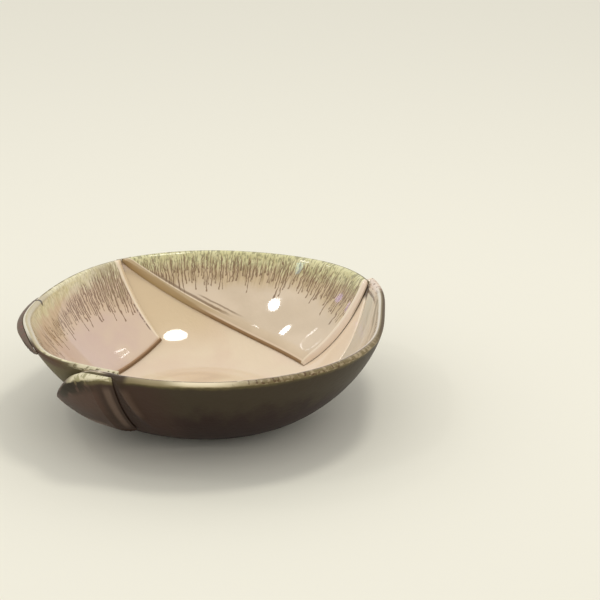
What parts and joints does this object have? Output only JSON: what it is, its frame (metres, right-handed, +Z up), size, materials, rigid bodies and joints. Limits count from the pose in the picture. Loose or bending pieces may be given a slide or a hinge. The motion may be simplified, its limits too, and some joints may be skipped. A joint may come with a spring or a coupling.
{
  "type": "bowl",
  "caption": "Round open serving bowl of lapped clay slabs, with a glossy mauve and tan inside, a dark outside, an olive rim with brown runs, and a flat foot to stand on.",
  "frame": {"origin": "centre of the flat foot, on the surface the bowl stands on", "axes": "+Z up out of the bowl's mouth, +X to the right and +Y to the back as the picture shows it"},
  "size_m": [0.2365, 0.2369, 0.067],
  "materials": {
    "tan_glaze": "gloss",
    "mauve_glaze": "gloss",
    "dark_glaze": "gloss"
  },
  "bodies": {
    "root": {"base_slab": "tan_glaze", "front_slab": "dark_glaze", "back_slab": "mauve_glaze", "left_slab": "mauve_glaze", "front_left_lap": "dark_glaze", "left_lap": "dark_glaze"}
  },
  "joints": []
}
